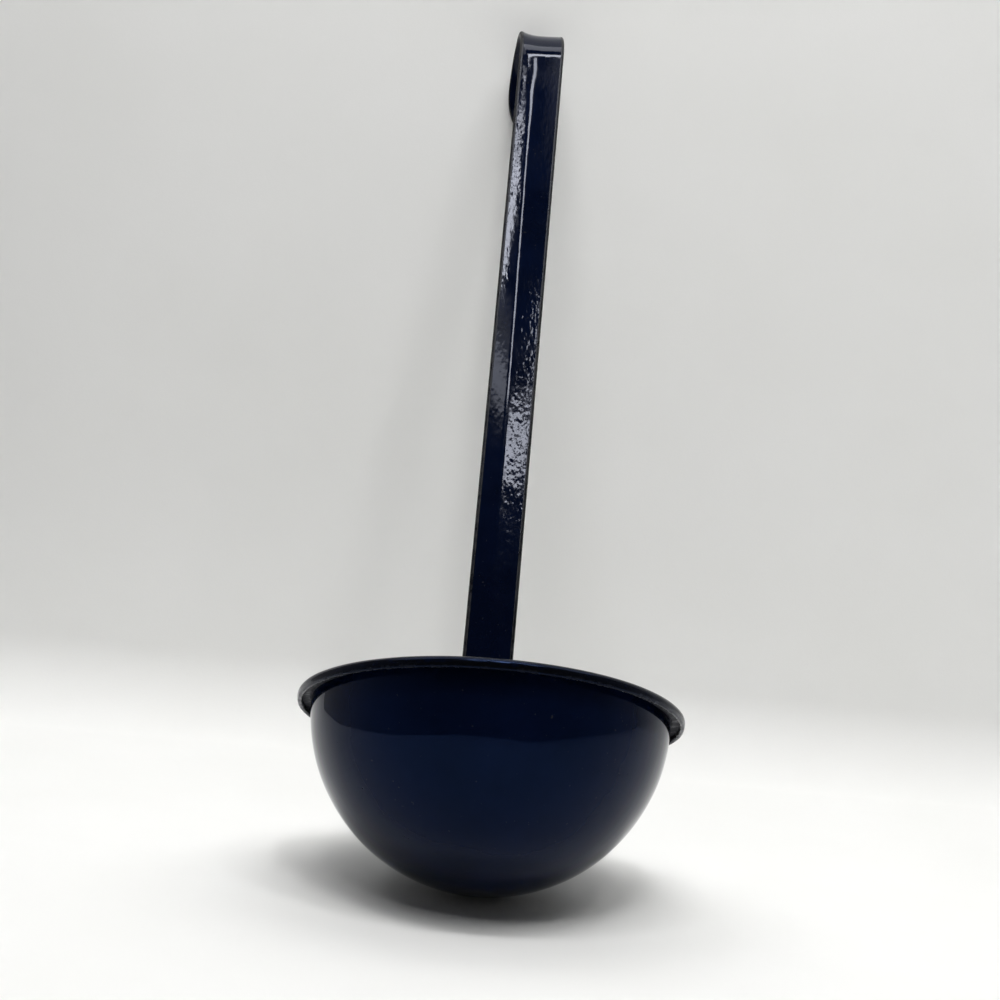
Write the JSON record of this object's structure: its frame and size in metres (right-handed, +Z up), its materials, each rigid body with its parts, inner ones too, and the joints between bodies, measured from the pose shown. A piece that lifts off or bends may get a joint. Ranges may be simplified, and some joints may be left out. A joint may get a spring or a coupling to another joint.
{
  "type": "enamel ladle",
  "caption": "Soup ladle with a half-round bowl, a curled rim and a tall strap handle whose top bends back into a hanging hook, in glossy navy enamel.",
  "frame": {"origin": "middle of the small flat under the bowl, on the bowl's axis", "axes": "+Z up the bowl's axis, along the handle; +Y from the bowl's axis to the handle; +X across the handle"},
  "size_m": [0.108, 0.1455, 0.3266],
  "materials": {
    "bowl_enamel": "gloss",
    "handle_enamel": "gloss",
    "rivet_enamel": "gloss"
  },
  "bodies": {
    "root": {"bowl": "bowl_enamel", "handle": "handle_enamel", "rivet_lower": "rivet_enamel", "rivet_upper": "rivet_enamel"}
  },
  "joints": []
}
